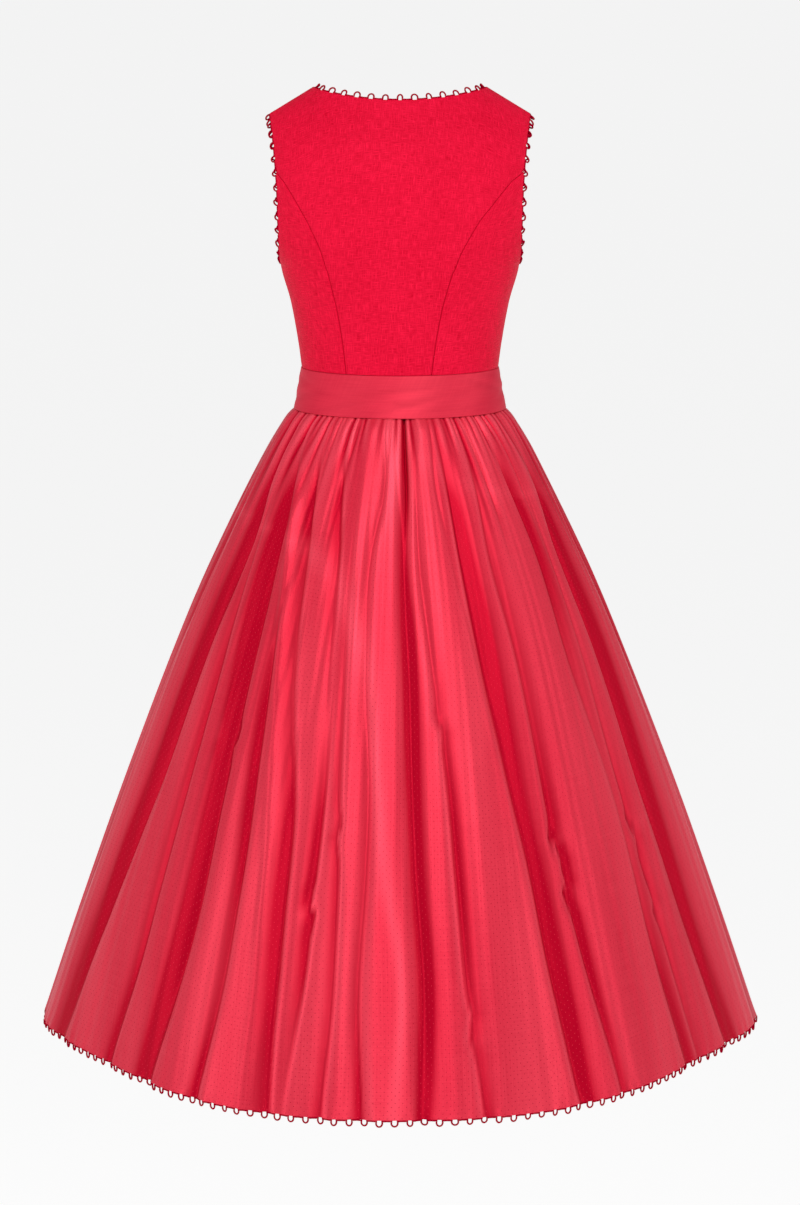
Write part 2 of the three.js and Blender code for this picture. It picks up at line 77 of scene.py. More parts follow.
def smooth_through(keys: Sequence[float], values: Sequence[float], at: Array) -> Array:
    """Follow a table with one smooth curve.

    Between two rows the curve is cubic, and its slope at a row is that between the rows beside it.

    Args:
        keys: rising places of the table's rows.
        values: value of each row.
        at: places to read.

    Returns:
        Values at those places, held beyond both ends of the table.
    """
    k, v, at = np.asarray(keys, float), np.asarray(values, float), np.asarray(at, float)
    last = len(k) - 1
    i = np.clip(np.searchsorted(k, at) - 1, 0, last - 1)
    before, after = np.maximum(i - 1, 0), np.minimum(i + 2, last)
    span = k[i + 1] - k[i]
    t = np.clip((at - k[i]) / span, 0, 1)
    slope_in = (v[i + 1] - v[before]) / (k[i + 1] - k[before]) * span
    slope_out = (v[after] - v[i]) / (k[after] - k[i]) * span
    return (v[i] * (1 + 2 * t) * (1 - t) ** 2 + slope_in * t * (1 - t) ** 2
            + v[i + 1] * t * t * (3 - 2 * t) + slope_out * t * t * (t - 1))


def ease(at: Array) -> Array:
    """Rise smoothly from 0 to 1 as at goes from 0 to 1."""
    t = np.clip(at, 0, 1)
    return t * t * (3 - 2 * t)


def unit(vectors: Array) -> Array:
    """Scale each vector to length 1."""
    return vectors / np.maximum(np.linalg.norm(vectors, axis=-1, keepdims=True), 1e-9)


def grid_normals(points: Array) -> Array:
    """Normal at each grid point: the way along a row crossed with the way up a column."""
    return unit(np.cross(np.gradient(points, axis=1), np.gradient(points, axis=0)))


def run_lengths(points: Array, axis: int) -> Array:
    """Length of cloth from the first line of a grid to each point, along one axis."""
    steps = np.linalg.norm(np.diff(points, axis=axis), axis=-1)
    start = np.zeros_like(np.take(steps, [0], axis=axis))
    return np.concatenate([start, np.cumsum(steps, axis=axis)], axis=axis)


def closed_up(values: Array, closed: bool) -> Array:
    """Values along a line, with the first one again at the end if the line is closed."""
    return np.concatenate([values, values[:1]]) if closed else values


def tangents(points: Array, closed: bool) -> Array:
    """Way along a line at each of its points."""
    return unit(np.roll(points, -1, 0) - np.roll(points, 1, 0) if closed else np.gradient(points, axis=0))


def corners(grid: Array) -> Array:
    """Four corners of each cell of a grid, anticlockwise, one row for each cell."""
    cells = np.stack([grid[:-1, :-1], grid[:-1, 1:], grid[1:, 1:], grid[1:, :-1]], axis=2)
    return cells.reshape(-1, *cells.shape[2:])


def between(pair: Pair, share: Array) -> Array:
    """Value at a share of the way from the first number to the second."""
    return pair[0] + (pair[1] - pair[0]) * share


def with_fine_ends(count: int, span: float, fine: Sequence[float]) -> Array:
    """Lines from 0 to 1, even but for close ones at both ends.

    Args:
        count: number of even steps.
        span: cloth length that 0 to 1 stands for.
        fine: distances of the close lines from each end, in the units of span.

    Returns:
        Rising line places.
    """
    near = np.asarray(fine) / span
    even = np.linspace(0, 1, count + 1)
    even = even[(even > near[-1] * 1.3) & (even < 1 - near[-1] * 1.3)]
    return np.concatenate([[0], near, even, 1 - near[::-1], [1]])


# ---- Pieces ----


def add_object(name: str, data: Any) -> Object:
    """Put new data into the scene as an object at the origin."""
    made = bpy.data.objects.new(name, data)
    bpy.context.scene.collection.objects.link(made)
    return made


@dataclass(frozen=True)
class Piece:
    """A mesh piece of the garment and what it stands for."""

    name: str
    nodes: tuple[str, ...]
    slot: Slot
    material: Material

    def make(self, points: Array, quads: Array, corner_uv: Array) -> Object:
        """Put four-sided faces into one mesh that rides on the garment's body.

        Args:
            points: places in millimetres, one row each.
            quads: four point numbers for each face, anticlockwise seen from outside.
            corner_uv: cloth coordinates in metres for each corner of each face.

        Returns:
            The finished object, at the origin.
        """
        def packed(values: Array, kind: type = np.float32) -> Array:
            """Values in one row, as the mesh takes them."""
            return np.ascontiguousarray(values, dtype=kind).ravel()

        mesh = bpy.data.meshes.new(self.name)
        mesh.vertices.add(len(points))
        mesh.vertices.foreach_set("co", packed(points * MM))
        mesh.loops.add(quads.size)
        mesh.loops.foreach_set("vertex_index", packed(quads, np.int32))
        mesh.polygons.add(len(quads))
        mesh.polygons.foreach_set("loop_start", np.arange(0, quads.size, 4, dtype=np.int32))
        mesh.polygons.foreach_set("use_smooth", np.ones(len(quads), dtype=bool))
        mesh.uv_layers.new(name="Cloth").data.foreach_set("uv", packed(corner_uv))
        mesh.update(calc_edges=True)
        mesh.validate()
        mesh.materials.append(self.material)
        made = add_object(self.name, mesh)
        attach(made, BODY)
        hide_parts(*self.nodes)
        LOG.info("%s: %d faces", self.name, len(quads))
        return made


@dataclass(frozen=True)
class ClothWall:
    """A closed shell of cloth whose two faces meet in a rounded rim on all four edges."""

    face: Array
    thickness: float
    uv: Array
    # Painted shade at each point of the outer grid, below 0 for a painted highlight, or None.
    painted_shade: Array | None = None

    def rim(self) -> Array:
        """Share of the full thickness at each point: a half round within half a thickness of an edge."""
        across, up = run_lengths(self.face, 1), run_lengths(self.face, 0)
        nearest = np.minimum.reduce([across, across[:, -1:] - across, up, up[-1:] - up])
        inside = np.clip(1 - nearest / (self.thickness / 2), 0, 1)
        return np.sqrt(1 - inside ** 2)

    def make(self, piece: Piece) -> Object:
        """Build the shell: the outer grid, the inner grid turned round, and shared edge points."""
        rows, columns, _ = self.face.shape
        normals = grid_normals(self.face)
        middle = self.face - normals * self.thickness / 2
        offset = normals * (self.thickness / 2 * self.rim())[..., None]
        outer, inner = middle + offset, middle - offset
        number = np.arange(rows * columns).reshape(rows, columns)
        behind = number.copy()
        behind[1:-1, 1:-1] = rows * columns + np.arange((rows - 2) * (columns - 2)).reshape(rows - 2, -1)
        points = np.concatenate([outer.reshape(-1, 3), inner[1:-1, 1:-1].reshape(-1, 3)])
        uv = corners(self.uv)
        quads = np.concatenate([corners(number), corners(behind)[:, ::-1]])
        made = piece.make(points, quads, np.concatenate([uv, uv[:, ::-1]]))
        # Store the painted shade on the outer and inner points for the finish to read.
        if self.painted_shade is not None:
            values = np.concatenate([self.painted_shade.ravel(), self.painted_shade[1:-1, 1:-1].ravel()])
            layer = made.data.attributes.new("painted_shade", "FLOAT", "POINT")
            layer.data.foreach_set("value", values.astype(np.float32))
        return made


@dataclass(frozen=True)
class Cord:
    """A round cord along a route, each ring square to the route. An open one has flat ends."""

    route: Array
    normals: Array
    radius: float
    sides: int
    closed: bool

    def make(self, piece: Piece) -> Object:
        """Build the tube: rings of points round the route, joined side by side."""
        tangent = tangents(self.route, self.closed)
        across = unit(np.cross(self.normals, tangent))
        over = np.cross(tangent, across)
        turn = (2 * np.pi * np.arange(self.sides) / self.sides)[:, None]
        ring = across[:, None] * np.cos(turn) + over[:, None] * np.sin(turn)
        points = (self.route[:, None] + ring * self.radius).reshape(-1, 3)
        number = np.arange(len(points)).reshape(-1, self.sides)
        number = closed_up(np.concatenate([number, number[:, :1]], axis=1), self.closed)
        length = run_lengths(closed_up(self.route, self.closed), 0) * MM
        around = np.arange(self.sides + 1) / self.sides
        uv = corners(np.stack(np.meshgrid(length, around, indexing="ij"), axis=-1))
        quads = corners(number)
        if not self.closed:
            end = len(points) - self.sides
            caps = np.array([[3, 2, 1, 0], [5, 4, 3, 0], [end, end + 1, end + 2, end + 3],
                             [end, end + 3, end + 4, end + 5]])
            quads = np.concatenate([quads, caps])
            uv = np.concatenate([uv, np.zeros((4, 4, 2))])
        return piece.make(points, quads, uv)


# ---- Finishes ----


class NodeBoard:
    """One material and the nodes laid into it."""

    def __init__(self, name: str) -> None:
        """Start an empty node material."""
        self.material = bpy.data.materials.new(name)
        self.material.use_nodes = True
        self.tree = self.material.node_tree
        self.tree.nodes.clear()

    def put(self, kind: str, inputs: dict[Any, Any] | None = None, **settings: Any) -> bpy.types.Node:
        """Add one node.

        Args:
            kind: Blender's node type.
            inputs: value or output socket for each input, by name or number.
            settings: the node's own options.

        Returns:
            The new node.
        """
        node = self.tree.nodes.new(kind)
        for name, value in settings.items():
            setattr(node, name, value)
        for key, value in (inputs or {}).items():
            if isinstance(value, Socket):
                self.tree.links.new(value, node.inputs[key])
            else:
                node.inputs[key].default_value = value
        return node

    def math(self, operation: str, *values: Any) -> Socket:
        """One Math node's result."""
        return self.put("ShaderNodeMath", dict(enumerate(values)), operation=operation).outputs[0]

    def total(self, *terms: tuple[Socket, float], plus: float = 0) -> Socket:
        """Sum of sockets, each times its weight, and of one more number."""
        result: Any = plus
        for socket, weight in terms:
            result = self.math("MULTIPLY_ADD", socket, weight, result)
        return result

    def blend(self, factor: Any, low: Any, high: Any) -> Socket:
        """Mix two colours by a factor."""
        return self.put("ShaderNodeMix", {0: factor, 6: low, 7: high}, data_type="RGBA").outputs[2]

    def cloth_place(self) -> tuple[Socket, Socket]:
        """The cloth's own coordinates in metres, across and up."""
        where = self.put("ShaderNodeTexCoord").outputs["UV"]
        across, up, _ = self.put("ShaderNodeSeparateXYZ", {0: where}).outputs
        return across, up

    def threads(self, along: float, across: float, detail: float = 3.0) -> Socket:
        """Streaky noise on the cloth's own coordinates, stretched along one thread direction.

        Args:
            along: streaks for each metre along the cloth's width.
            across: streaks for each metre along its length.
            detail: fineness of the noise.

        Returns:
            The noise's factor.
        """
        where = self.put("ShaderNodeTexCoord").outputs["UV"]
        placed = self.put("ShaderNodeMapping", {"Vector": where, "Scale": (along, across, 1)})
        noise = self.put("ShaderNodeTexNoise", {"Vector": placed.outputs[0], "Scale": 1.0, "Detail": detail})
        return noise.outputs[0]

    def waves(self, place: Any, pace: float) -> Socket:
        """Sine of a place times a pace."""
        return self.math("SINE", self.math("MULTIPLY", place, pace))

    def painted_shade(self) -> Socket:
        """Painted shade stored on the mesh: 1 at the bottom of a fold or seam, below 0 on a ridge beside a
        fold, where a highlight is painted.
        """
        return self.put("ShaderNodeAttribute", attribute_name="painted_shade").outputs["Fac"]

    def finish(self, inputs: dict[str, Any], bump: tuple[float, float, Any] | None = None) -> Material:
        """Wire one Principled shader to the surface.

        Args:
            inputs: value or output socket for each input of the shader.
            bump: strength, depth in metres and height socket of the relief.

        Returns:
            The finished material.
        """
        if bump:
            relief = self.put("ShaderNodeBump", dict(zip(("Strength", "Distance", "Height"), bump)))
            inputs = inputs | {"Normal": relief.outputs[0]}
        shader = self.put("ShaderNodeBsdfPrincipled", inputs)
        self.put("ShaderNodeOutputMaterial", {"Surface": shader.outputs[0]})
        return self.material


@dataclass(frozen=True)
class LinenFinish:
    """Matt red cloth with a fine, slightly slubby plain weave, and painted shade along its seams."""

    low: Colour = (0.44, 0.0, 0.012, 1)
    high: Colour = (0.80, 0.009, 0.048, 1)
    # Painted shade: the colour along the seams.
    seam: Colour = (0.46, 0.0, 0.014, 1)
    gloss: Colour = (1.0, 0.5, 0.6, 1)
    thread: float = 0.55 * MM

    def material(self) -> Material:
        """Build the weave: thread ribs both ways, slubs both ways, the colour that follows them, and painted
        shade along the seams.
        """
        board = NodeBoard("bodice_linen")
        ribs = [board.waves(place, 2 * np.pi / self.thread) for place in board.cloth_place()]
        slub = board.math("MAXIMUM", board.threads(1200, 75), board.threads(90, 1200))
        tone = board.total((slub, 2.9), (board.threads(14, 14, 2), 0.4), plus=-1.22)
        # Painted shade darkens the weave's colour along the seams, by the mesh's values.
        colour = board.blend(board.painted_shade(), board.blend(tone, self.low, self.high), self.seam)
        height = board.total((board.math("MULTIPLY", *ribs), 0.25), (slub, 1))
        return board.finish({"Base Color": colour, "Roughness": 0.5, "Specular IOR Level": 0.04,
                             "Specular Tint": self.gloss}, (0.35, 0.5 * MM, height))


@dataclass(frozen=True)
class TaffetaFinish:
    """Red shot taffeta: pinkish faces, painted shade of saturated deep red in the folds, a painted highlight
    beside them, and matt pin dots.
    """

    name: str = "skirt_taffeta_red"
    ground: Colour = (0.54, 0.007, 0.030, 1)
    streak: Colour = (0.72, 0.043, 0.074, 1)
    # Painted shade: the colour at the bottom of a fold.
    deep: Colour = (0.44, 0.0, 0.016, 1)
    # Painted highlight: the colour on a ridge beside a fold.
    painted_highlight: Colour = (0.82, 0.070, 0.110, 1)
    dot: Colour = (0.40, 0.004, 0.020, 1)
    # A pin dot's colour inside the painted shade.
    dot_in_painted_shade: Colour = (0.64, 0.03, 0.06, 1)
    dot_step: float = 9.0 * MM
    dot_radius: float = 0.52 * MM
    rib: float = 0.6 * MM
    gloss: Colour = (1.0, 0.42, 0.5, 1)
    metal: float = 0.25
    roughness: float = 0.34
    dots: bool = True

    def dot_mask(self, board: NodeBoard) -> Socket:
        """1 on a pin dot: rows half a step apart, every second row moved by half a step."""
        math, (across, up) = board.math, board.cloth_place()
        row = math("DIVIDE", up, self.dot_step / 2)
        shift = math("MULTIPLY", math("FLOORED_MODULO", math("FLOOR", row), 2.0), 0.5)
        column = math("ADD", math("DIVIDE", across, self.dot_step), shift)
        squares = []
        for place, step in ((column, self.dot_step), (row, self.dot_step / 2)):
            off = math("MULTIPLY", math("SUBTRACT", math("FRACT", place), 0.5), step)
            squares.append(math("POWER", off, 2.0))
        return math("LESS_THAN", math("SQRT", math("ADD", *squares)), self.dot_radius)

    def material(self) -> Material:
        """Build the taffeta: cross ribs, long thread streaks, pin dots, a coloured gloss, and painted shade
        and highlights.
        """
        board = NodeBoard(self.name)
        rib = board.waves(board.cloth_place()[1], 2 * np.pi / self.rib)
        threads = board.total((board.threads(22, 900), 0.5), (board.threads(700, 9), 0.5))
        tone = board.total((threads, 1.3), (board.threads(9, 1.6, 1), 1.9), plus=-0.92)
        painted_shade = board.painted_shade()
        colour = board.blend(tone, self.ground, self.streak)
        # Painted highlight where the mesh's values fall below 0, painted shade where they rise toward 1.
        colour = board.blend(board.math("MULTIPLY", painted_shade, -1.0), colour, self.painted_highlight)
        colour = board.blend(painted_shade, colour, self.deep)
        rough = board.total((threads, 0.12), plus=self.roughness - 0.06)
        if self.dots:
            mask = self.dot_mask(board)
            # Pin dots, lighter inside the painted shade.
            colour = board.blend(mask, colour, board.blend(painted_shade, self.dot, self.dot_in_painted_shade))
            rough = board.math("MAXIMUM", rough, board.math("MULTIPLY", mask, 0.8))
        height = board.total((rib, 0.2), (threads, 1))
        return board.finish({"Base Color": colour, "Metallic": self.metal, "Roughness": rough,
                             "Specular IOR Level": 0.11, "Specular Tint": self.gloss},
                            (0.22, 0.4 * MM, height))


@dataclass(frozen=True)
class CordFinish:
    """Dark red twisted yarn."""

    low: Colour = (0.22, 0.0, 0.008, 1)
    high: Colour = (0.42, 0.0, 0.018, 1)
    ply: float = 1.6 * MM

    def material(self) -> Material:
        """Build the yarn: slanted ply ridges that wind round the cord."""
        board = NodeBoard("edging_yarn")
        along, around = board.cloth_place()
        ply = board.waves(board.math("ADD", board.math("DIVIDE", along, self.ply), around), 2 * np.pi)
        colour = board.blend(board.total((ply, 0.35), plus=0.5), self.low, self.high)
        return board.finish({"Base Color": colour, "Roughness": 0.7, "Specular IOR Level": 0.0},
                            (0.5, 0.3 * MM, ply))


@dataclass(frozen=True)
class FloorFinish:
    """Plain pale studio floor, lit from within a little so that it stays even far behind the garment."""

    colour: Colour = (0.8, 0.8, 0.8, 1)
    glow: float = 0.625

    def material(self) -> Material:
        """Build the matt floor."""
        return NodeBoard("studio_floor").finish({
            "Base Color": self.colour, "Roughness": 0.95, "Specular IOR Level": 0.0,
            "Emission Color": (1, 1, 1, 1), "Emission Strength": self.glow})


# ---- Bodice ----


@dataclass(frozen=True)
class BodiceForm:
    """The worn surface of the bodice.

    A point is given by its face, its share (0 on the centre line, 1 or -1 at the side or armhole)
    and its row (-1 at the waist, 0 at the underarm, 1 at the shoulder and neck edge).
    """

    underarm: float = -203
    waist: float = -332
    neck_half_width: float = 108
    neck_point: float = 18
    shoulder_half_width: float = 162.4
    shoulder_tip: float = -15
    neck_low: Pair = (6, -140)
    neck_curve: Pair = (2, 2.2)
    armhole_depth: Pair = (50, 58)
    roll_start: float = -90
    neck_roll_rise: float = 48
    heights: Table = (-332, -300, -249, -203, -150, -100, -50, -15, 16)
    half_widths: Table = (123.8, 128, 137.2, 149.5, 151.4, 152.8, 157, 162.4, 164)
    depths_back: Table = (95, 96, 100, 105, 109, 107, 98, 88, 80)
    depths_front: Table = (97, 103, 112, 114, 107, 96, 82, 70, 62)
    bust_rise: float = 17
    bust_share: Pair = (0.5, 0.26)
    bust_z: Pair = (-226, 52)
    seam_gap: float = 0.06

    @property
    def neck_share(self) -> float:
        """Share at which the neckline meets the shoulder line."""
        return float(np.arcsin(self.neck_half_width / self.shoulder_half_width) / (np.pi / 2))

    def pick(self, face: Face, pair: Pair) -> float:
        """The back's or the front's value of a pair."""
        return pair[0] if face is Face.BACK else pair[1]

    def top_edge(self, face: Face, x: Array) -> Array:
        """Height of the top edge: a power curve in the neck, straight down to the shoulder tip beyond it."""
        out = np.abs(x)
        low, curve = self.pick(face, self.neck_low), self.pick(face, self.neck_curve)
        share = (out - self.neck_half_width) / (self.shoulder_half_width - self.neck_half_width)
        shoulder = between((self.neck_point, self.shoulder_tip), share)
        neck = between((low, self.neck_point), np.minimum(out / self.neck_half_width, 1) ** curve)
        return np.where(out > self.neck_half_width, shoulder, neck)

    def depth(self, face: Face, share: Array, z: Array) -> Array:
        """How far the centre line stands out at a height.

        The front has a soft round rise, a bell curve about bust_share and bust_z: its middle and its width.
        """
        table = self.depths_back if face is Face.BACK else self.depths_front
        base = smooth_through(self.heights, table, z)
        if face is Face.BACK:
            return base
        across = (np.abs(share) - self.bust_share[0]) / self.bust_share[1]
        up = (z - self.bust_z[0]) / self.bust_z[1]
        return base + self.bust_rise * np.exp(-across ** 2 - up ** 2)

    def roll(self, x: Array, z: Array) -> Array:
        """Share of the depth that is left as the cloth rolls over to the shoulder line: a quarter round."""
        out = np.abs(x) / self.neck_half_width
        neck = self.neck_point + self.neck_roll_rise * (1 - out ** 2)
        top = np.where(out > 1, self.top_edge(Face.BACK, x), neck)
        rise = np.clip((z - self.roll_start) / (top - self.roll_start), 0, 1)
        return np.sqrt(1 - rise ** 2)

    def point(self, face: Face, share: Array, row: Array) -> Array:
        """Places on the worn surface.

        Below the underarm a ring is an ellipse. Above it the ring is the same ellipse cut off where the
        armhole's edge stands, and it rolls over to the shoulder.

        Args:
            face: back or front.
            share: shares from the centre to the side.
            row: rows from the waist to the shoulder.

        Returns:
            Points in millimetres, in a last axis of 3.
        """
        share, row = np.broadcast_arrays(np.asarray(share, float), np.asarray(row, float))
        low_z = self.underarm + (self.underarm - self.waist) * np.minimum(row, 0)
        angle = share * np.pi / 2
        low_x = smooth_through(self.heights, self.half_widths, low_z) * np.sin(angle)
        low_y = self.depth(face, share, low_z) * np.cos(angle)
        lift = (1 - np.cos(np.pi * np.clip(row, 0, 1))) / 2
        top_x = self.shoulder_half_width * np.sin(angle)
        high_z = between((self.underarm, self.top_edge(face, top_x)), lift)
        edge_z = between((self.underarm, self.shoulder_tip), lift)
        depth = self.depth(face, share, high_z)
        edge = self.pick(face, self.armhole_depth) * np.sin(np.pi * np.clip(row, 0, 1)) / depth
        reach = top_x / self.shoulder_half_width
        high_x = smooth_through(self.heights, self.half_widths, edge_z) * reach
        high_y = depth * np.sqrt(np.maximum(1 - reach ** 2 * (1 - edge ** 2), 0)) * self.roll(high_x, high_z)
        below = row <= 0
        y = face.value * np.maximum(np.where(below, low_y, high_y), self.seam_gap)
        return np.stack([np.where(below, low_x, high_x), y, np.where(below, low_z, high_z)], axis=-1)

    def normal(self, face: Face, share: Array, row: Array) -> Array:
        """Normals by differences, taken a little inside the edges where two surfaces meet."""
        step, inner = 0.02, 0.96
        s = np.clip(share, -inner, inner)
        r = np.where(np.asarray(row) > 0, np.clip(row, 0.05, inner), np.clip(row, -inner, -0.04))
        across = self.point(face, s + step, r) - self.point(face, s - step, r)
        up = self.point(face, s, r + step) - self.point(face, s, r - step)
        return unit(np.cross(across, up)) * -face.value


@dataclass(frozen=True)
class Panel:
    """One cut panel of the bodice: the shares of its two sides, and whether they follow a curved seam."""

    name: str
    face: Face
    left: float
    right: float
    follows_seam: tuple[bool, bool]

    @property
    def is_centre(self) -> bool:
        """True for a centre panel, which runs on up to the shoulder."""
        return "centre" in self.name


@dataclass
class Bodice:
    """Seven panels with curved seams, each a closed wall of cloth."""

    form: BodiceForm = BodiceForm()
    thickness: float = 1.6
    rows_back: Table = (-1, -0.6, -0.28, 0, 0.2, 0.33, 0.43, 0.5, 0.55, 0.6)
    seam_back_left: Table = (0.365, 0.377, 0.394, 0.411, 0.444, 0.524, 0.625, 0.720, 0.815, 1)
    seam_back_right: Table = (0.205, 0.230, 0.258, 0.290, 0.330, 0.424, 0.553, 0.661, 0.770, 1)
    rows_front: Table = (-1, -0.6, -0.28, 0, 0.2, 0.33, 0.43, 0.5)
    seam_front: Table = (0.36, 0.41, 0.46, 0.49, 0.53, 0.6, 0.72, 1)
    seam_share: float = 0.0003
    dip: float = 0.55
    dip_width: float = 2.2
    shade_width: float = 0.6
    least_area: float = 0.31

    def seam(self, face: Face, side: float, rows: Array) -> Array:
        """Share of one side's curved seam at each row, 1 above the point where it meets the armhole."""
        if face is Face.BACK:
            keys, shares = self.rows_back, self.seam_back_left if side < 0 else self.seam_back_right
        else:
            keys, shares = self.rows_front, self.seam_front
        return np.minimum(smooth_through(keys, shares, rows), 1.0)

    def tip(self, face: Face) -> float:
        """Row at which the curved seam meets the armhole."""
        return self.rows_back[-1] if face is Face.BACK else self.rows_front[-1]

    def rows(self, panel: Panel) -> Array:
        """Rows from the waist to the panel's top, close together at both ends."""
        low = -1 + with_fine_ends(26, self.form.underarm - self.form.waist, (0.12, 0.4, 0.8, 2))[:-5]
        if not panel.is_centre:
            top = self.tip(panel.face)
            near = top - 0.002 - np.array([0.03, 0.015, 0.006, 0.002, 0])
            return np.concatenate([low, np.linspace(0, top - 0.045, 22), near])
        near = 1 - np.array([0.06, 0.045, 0.03, 0.02, 0.012, 0.007, 0.004, 0.0025, 0.0015, 0.0006, 0])
        return np.concatenate([low, np.linspace(0, 0.92, 44), near])

    def columns(self, panel: Panel) -> Array:
        """Columns from 0 to 1 across a panel, with one on the neck point."""
        count = 72 if all(panel.follows_seam) else 36
        lines = with_fine_ends(count, 100, (0.06, 0.2, 0.5, 0.9, 2))
        spread = panel.right - panel.left
        marks = [(s - panel.left) / spread for s in (-self.form.neck_share, self.form.neck_share)]
        return np.unique(np.concatenate([lines, [m for m in marks if 0.02 < m < 0.98]]))

    def sides(self, panel: Panel, rows: Array) -> tuple[Array, Array]:
        """Shares of the panel's left and right sides at each row, held a hair off the seam."""
        off = -self.seam_share if panel.is_centre else self.seam_share

        def line(share: float, follows: bool) -> Array:
            """One side's shares: along its seam, or straight up."""
            if not follows:
                return np.full_like(rows, share)
            seam = self.seam(panel.face, share, rows)
            return np.sign(share) * np.where(seam < 1, seam + off, 1.0)

        return line(panel.left, panel.follows_seam[0]), line(panel.right, panel.follows_seam[1])

    def surface(self, panel: Panel) -> tuple[Array, Array]:
        """Outer face of a panel, sunk a little along its seams, and the painted shade along them.

        The sink is dip times a bell curve of the distance from the panel's seam side, dip_width wide. The
        painted shade is the same curve, shade_width wide.
        """
        rows = self.rows(panel)
        columns = self.columns(panel)
        left, right = self.sides(panel, rows)
        share = left[:, None] * (1 - columns) + right[:, None] * columns
        face = self.form.point(panel.face, share, rows[:, None])
        normal = self.form.normal(panel.face, share, np.broadcast_to(rows[:, None], share.shape))
        across = run_lengths(face, 1)
        sink, painted_shade = np.zeros_like(share), np.zeros_like(share)
        below = (rows < self.tip(panel.face))[:, None]
        for distance, follows in zip((across, across[:, -1:] - across), panel.follows_seam):
            if follows:
                sink += below * self.dip * np.exp(-(distance / self.dip_width) ** 2)
                # Painted shade along the seam.
                painted_shade += below * np.exp(-(distance / self.shade_width) ** 2)
        face = face - normal * sink[..., None]
        return (face, painted_shade) if panel.face is Face.BACK else (face[:, ::-1], painted_shade[:, ::-1])

    def build(self, material: Material) -> list[Object]:
        """Build every panel."""
        made = []
        centre = self.form.seam_gap / 200
        back, front = Face.BACK, Face.FRONT
        panels = [
            Panel("bodice_back_centre", back, -1, 1, (True, True)),
            Panel("bodice_back_side_left", back, -1, -0.5, (False, True)),
            Panel("bodice_back_side_right", back, 0.5, 1, (True, False)),
            Panel("bodice_front_centre_left", front, -1, -centre, (True, False)),
            Panel("bodice_front_centre_right", front, centre, 1, (False, True)),
            Panel("bodice_front_side_left", front, -1, -0.5, (False, True)),
            Panel("bodice_front_side_right", front, 0.5, 1, (True, False)),
        ]
        for panel in panels:
            face, painted_shade = self.surface(panel)
            across, up = run_lengths(face, 1), run_lengths(face, 0)
            uv = np.stack([across - across[:, -1:] / 2, up], axis=-1) * MM
            wall = ClothWall(face, self.thickness, uv, painted_shade)
            piece = Piece(f"{panel.name}_cloth", (panel.name,), Slot.BODICE, material)
            made.append(wall.make(piece))
        return made


# ---- Waistband ----


@dataclass(frozen=True)
class Crease:
    """A soft diagonal trough in the band: place, length, slope, depth and width."""

    degrees: float
    z: float
    length: float
    slope: float
    depth: float
    width: float = 5.0


@dataclass
class Waistband:
    """A strip round the waist that meets end to end at the centre front."""

    heights: Table = (-384, -367, -350, -332.3)
    half_widths: Table = (133.2, 129.9, 127.2, 123.8)
    depths_back: Table = (105, 101, 97.5, 95)
    depths_front: Table = (105, 101.5, 99, 97)
    proud: float = 0.8
    thickness: float = 1.8
    end_gap: float = 0.1
    height: float = 51.9
    radius: float = 118
    crease_gain: float = 1.3
    slope_gain: float = 1.8
    puff: float = 0.35
    creases: tuple[Crease, ...] = (
        Crease(-52, -352, 70, -0.10, 0.7), Crease(-30, -366, 60, 0.14, 0.6), Crease(-8, -356, 80, 0.08, 0.7),
        Crease(6, -372, 70, -0.12, 0.6), Crease(26, -358, 90, 0.16, 0.9), Crease(44, -368, 60, 0.10, 0.7),
        Crease(64, -350, 60, -0.14, 0.8), Crease(-74, -364, 50, 0.12, 0.8), Crease(84, -362, 50, 0.1, 0.7),
        Crease(112, -356, 70, -0.12, 0.7), Crease(138, -366, 60, 0.1, 0.6), Crease(163, -354, 60, -0.1, 0.7),
        Crease(-108, -360, 70, 0.12, 0.7), Crease(-136, -352, 60, -0.1, 0.6),
        Crease(-160, -368, 60, 0.12, 0.7),
    )

    def surface(self) -> Array:
        """Outer face: an ellipse at each height, with the creases pressed in as bell-shaped troughs.

        The band swells out by puff halfway up, along half a sine wave.
        """
        low, span, fine = self.heights[0], 52, (0.12, 0.4, 0.9, 1.8)
        z = (low + self.height * with_fine_ends(22, span, fine))[:, None]
        ends = np.pi * with_fine_ends(300, 800, fine) * 2 - np.pi
        trim = self.end_gap / 200
        angle = np.clip(ends, -np.pi + trim, np.pi - trim)[None, :]
        width = smooth_through(self.heights, self.half_widths, z) + self.proud
        back = smooth_through(self.heights, self.depths_back, z)
        front = smooth_through(self.heights, self.depths_front, z)
        depth = np.where(np.cos(angle) > 0, back, front) + self.proud
        bend = 0 * angle * z
        for crease in self.creases:
            along = (angle - np.radians(crease.degrees)) * self.radius
            across = z - crease.z - self.slope_gain * crease.slope * along
            trough = np.exp(-(across / crease.width) ** 2 - (along / crease.length) ** 4)
            bend -= self.crease_gain * crease.depth * trough
        bend += self.puff * np.sin(np.pi * (z - low) / span)
        x, y = (width + bend) * np.sin(angle), -(depth + bend) * np.cos(angle)
        return np.stack([x, y, z + 0 * angle], axis=-1)

    def build(self, material: Material) -> Object:
        """Build the band."""
        face = self.surface()
        across, up = run_lengths(face, 1), run_lengths(face, 0)
        uv = np.stack([across, up + 200], axis=-1) * MM
        piece = Piece("waistband_cloth", ("waistband",), Slot.TAFFETA, material)
        made = ClothWall(face, self.thickness, uv).make(piece)
        return made


# ---- Skirt ----


